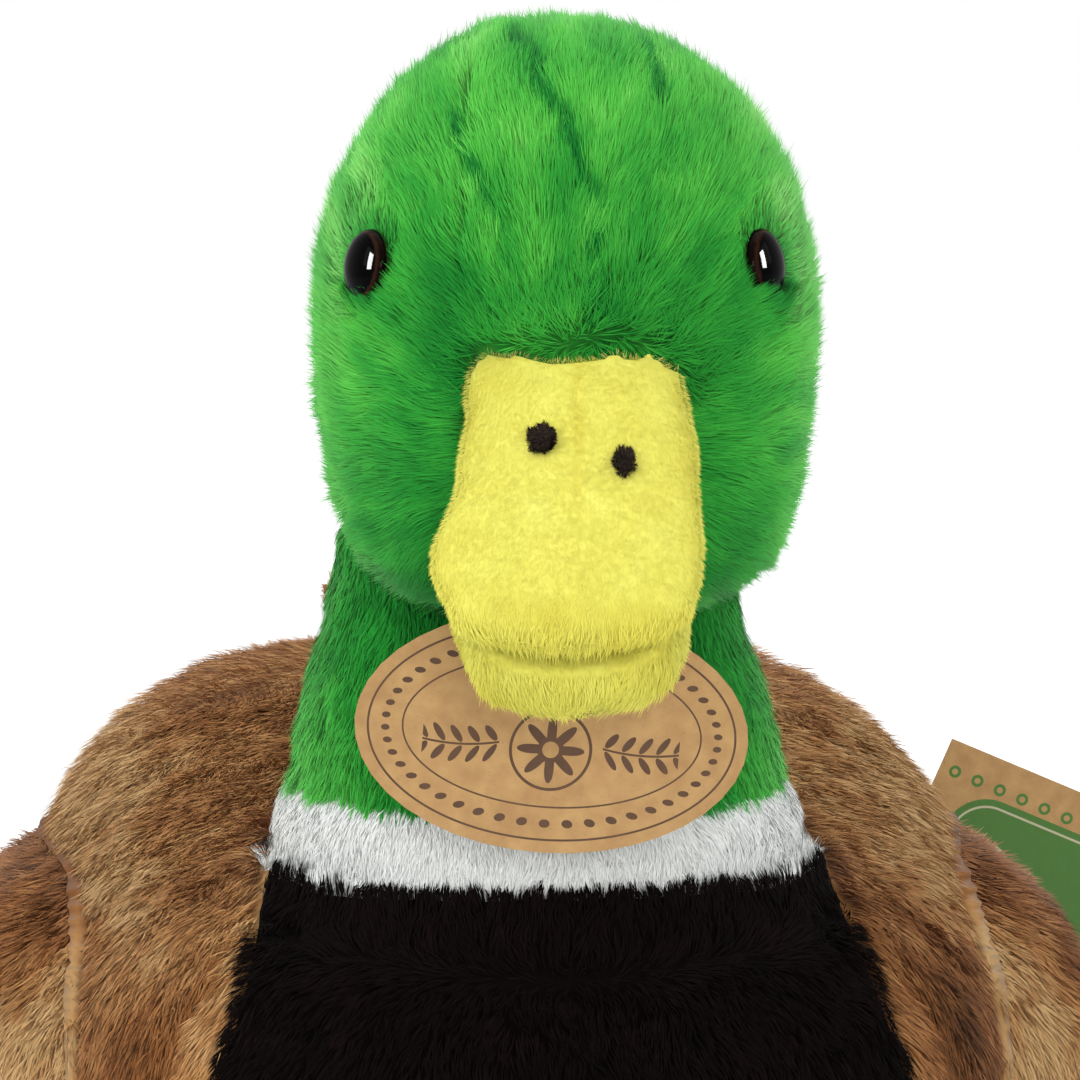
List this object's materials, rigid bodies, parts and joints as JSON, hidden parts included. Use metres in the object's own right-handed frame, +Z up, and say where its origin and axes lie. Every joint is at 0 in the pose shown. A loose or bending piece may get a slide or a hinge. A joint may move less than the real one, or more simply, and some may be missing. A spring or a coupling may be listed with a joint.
{
  "type": "plush duck",
  "caption": "Stuffed plush mallard sitting on a flat base, with a turning head, folded wings that lift, webbed feet, a tail and card tags.",
  "frame": {"origin": "on the floor, in the middle of the flat base that the duck sits on", "axes": "+Z up; the duck faces -Y; its left side is +X"},
  "size_m": [0.2271, 0.2855, 0.2285],
  "materials": {
    "back_panel": "plush pile",
    "bean_bag": "soft filling",
    "belly_panel": "plush pile",
    "bill_lower": "plush pile",
    "bill_upper": "plush pile",
    "care_label": "ribbon",
    "chest_panel": "plush pile",
    "collar": "plush pile",
    "eye_left": "gloss",
    "eye_right": "gloss",
    "eye_washer_left": "matte",
    "eye_washer_right": "matte",
    "flank_left": "plush pile",
    "flank_right": "plush pile",
    "foot_left_sole": "plush pile",
    "foot_left_upper": "plush pile",
    "foot_right_sole": "plush pile",
    "foot_right_upper": "plush pile",
    "front_tag": "matte",
    "front_tag_loop": "matte",
    "head_gusset": "plush pile",
    "head_side_left": "plush pile",
    "head_side_right": "plush pile",
    "head_stuffing": "soft filling",
    "neck_cover": "plush pile",
    "neck_stuffing": "soft filling",
    "nostril_left": "plush pile",
    "nostril_right": "plush pile",
    "side_tag": "matte",
    "side_tag_loop": "matte",
    "tail_lower": "plush pile",
    "tail_upper": "plush pile",
    "torso_stuffing": "soft filling",
    "wing_left_cover": "plush pile",
    "wing_left_lining": "plush pile",
    "wing_right_cover": "plush pile",
    "wing_right_lining": "plush pile"
  },
  "bodies": {
    "torso": {"torso_stuffing": "torso_stuffing", "bean_bag": "bean_bag", "belly_panel": "belly_panel", "chest_panel": "chest_panel", "back_panel": "back_panel", "flank_left": "flank_left", "flank_right": "flank_right", "collar": "collar", "neck_cover": "neck_cover", "neck_stuffing": "neck_stuffing", "front_tag_loop": "front_tag_loop"},
    "head": {"head_stuffing": "head_stuffing", "head_side_left": "head_side_left", "head_side_right": "head_side_right", "head_gusset": "head_gusset", "eye_left": "eye_left", "eye_right": "eye_right", "eye_washer_left": "eye_washer_left", "eye_washer_right": "eye_washer_right", "bill_upper": "bill_upper", "bill_lower": "bill_lower", "nostril_left": "nostril_left", "nostril_right": "nostril_right"},
    "wing_left": {"wing_left_cover": "wing_left_cover", "wing_left_lining": "wing_left_lining", "side_tag_loop": "side_tag_loop"},
    "wing_right": {"wing_right_cover": "wing_right_cover", "wing_right_lining": "wing_right_lining"},
    "foot_left": {"foot_left_upper": "foot_left_upper", "foot_left_sole": "foot_left_sole"},
    "foot_right": {"foot_right_upper": "foot_right_upper", "foot_right_sole": "foot_right_sole"},
    "tail": {"tail_upper": "tail_upper", "tail_lower": "tail_lower"},
    "front_tag_card": {"front_tag": "front_tag"},
    "side_tag_card": {"side_tag": "side_tag"},
    "label": {"care_label": "care_label"}
  },
  "joints": [
    {"name": "head_turn", "type": "hinge", "parent": "torso", "child": "head", "pos_m": [0, -0.052, 0.146], "axis": [0, 0, 1], "range_deg": [-25, 25], "stiffness_Nm_per_rad": 0.05},
    {"name": "wing_left_lift", "type": "hinge", "parent": "torso", "child": "wing_left", "pos_m": [0.06971, 0, 0.095], "axis": [0, -1, 0], "range_deg": [0, 50]},
    {"name": "wing_right_lift", "type": "hinge", "parent": "torso", "child": "wing_right", "pos_m": [-0.06971, 0, 0.095], "axis": [0, 1, 0], "range_deg": [0, 50]},
    {"name": "foot_left_flex", "type": "hinge", "parent": "torso", "child": "foot_left", "pos_m": [0.036, -0.064, 0], "axis": [1, 0, 0], "range_deg": [0, 25], "stiffness_Nm_per_rad": 0.03},
    {"name": "foot_right_flex", "type": "hinge", "parent": "torso", "child": "foot_right", "pos_m": [-0.036, -0.064, 0], "axis": [1, 0, 0], "range_deg": [0, 25], "stiffness_Nm_per_rad": 0.03},
    {"name": "tail_flex", "type": "hinge", "parent": "torso", "child": "tail", "pos_m": [0, 0.10542, 0.10336], "axis": [1, 0, 0], "range_deg": [-12, 12], "stiffness_Nm_per_rad": 0.03},
    {"name": "front_tag_swing", "type": "hinge", "parent": "torso", "child": "front_tag_card", "pos_m": [-0.0024, -0.1035, 0.1414], "axis": [-1, 0, 0], "range_deg": [-8, 50]},
    {"name": "side_tag_swing", "type": "hinge", "parent": "wing_left", "child": "side_tag_card", "pos_m": [0.08428, 0.087, 0.07362], "axis": [0.4004, 0, 0.9164], "range_deg": [-15, 45]},
    {"name": "care_label_flap", "type": "hinge", "parent": "torso", "child": "label", "pos_m": [0, 0.1192, 0.04104], "axis": [0, 0, 1], "range_deg": [-60, 60], "stiffness_Nm_per_rad": 0.0005}
  ]
}
